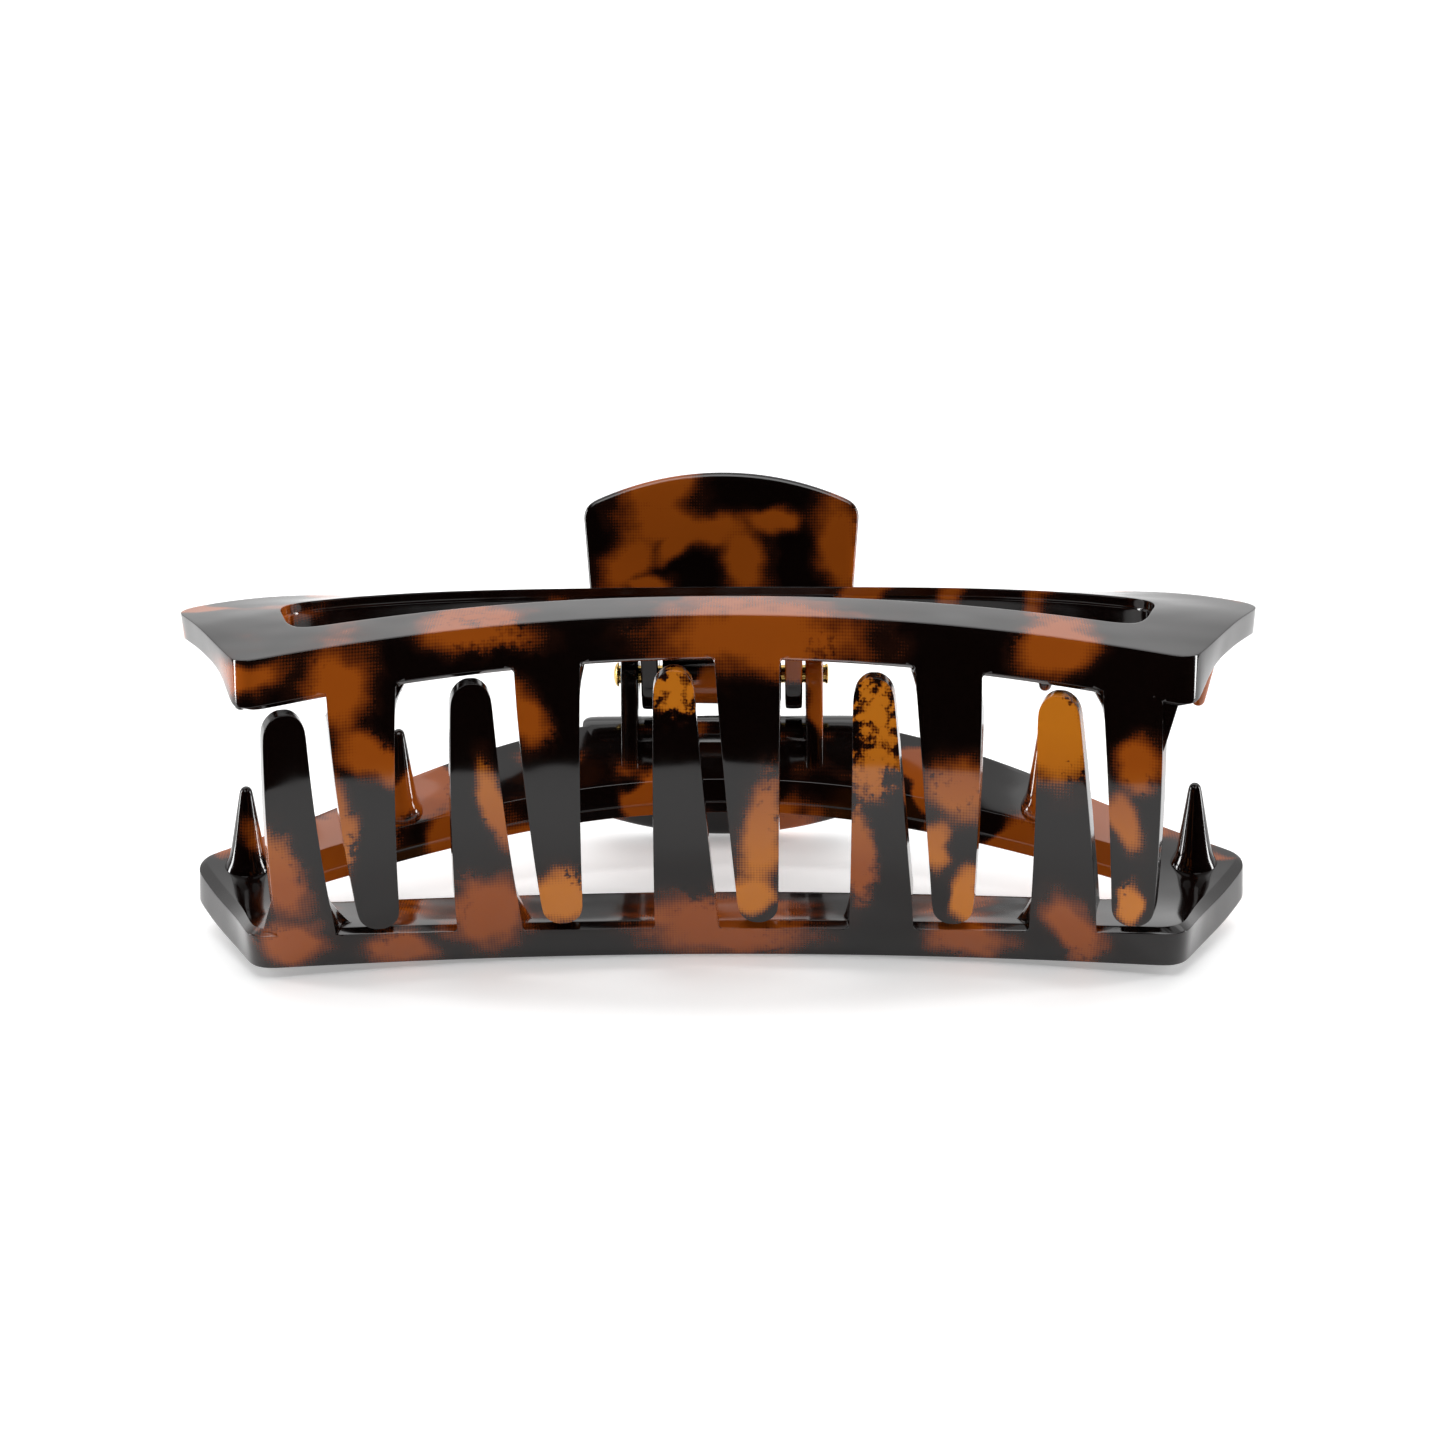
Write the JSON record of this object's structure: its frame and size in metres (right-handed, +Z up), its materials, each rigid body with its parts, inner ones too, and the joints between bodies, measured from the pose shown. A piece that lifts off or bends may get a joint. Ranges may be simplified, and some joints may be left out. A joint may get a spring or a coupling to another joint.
{
  "type": "claw clip",
  "caption": "Large hair claw clip: bowed window-frame jaws with interlocking teeth, on a sprung pin hinge, opened by squeezing flat handles.",
  "frame": {"origin": "centre of the footprint, on the surface that the closed clip lies on", "axes": "+X along the hinge pin, the long way of the clip; -Y to the front, where the teeth are; +Y to the hinge and the handles; +Z up"},
  "size_m": [0.1096, 0.0562, 0.0431],
  "materials": {
    "tortoiseshell_plastic": "polished acetate with dark brown patches in translucent amber",
    "pin_brass": "drawn wire with upset ends",
    "spring_steel": "bare spring wire"
  },
  "bodies": {
    "lower_half": {"lower_jaw": "tortoiseshell_plastic", "hinge_pin": "pin_brass", "torsion_spring": "spring_steel"},
    "upper_half": {"upper_jaw": "tortoiseshell_plastic"}
  },
  "joints": [
    {"name": "jaw_hinge", "type": "hinge", "parent": "lower_half", "child": "upper_half", "pos_m": [0, 0.01813, 0.02107], "axis": [-1, 0, 0], "range_deg": [0, 115], "stiffness_Nm_per_rad": 0.062, "springref_deg": -60.16, "deforming": ["torsion_spring"]}
  ]
}
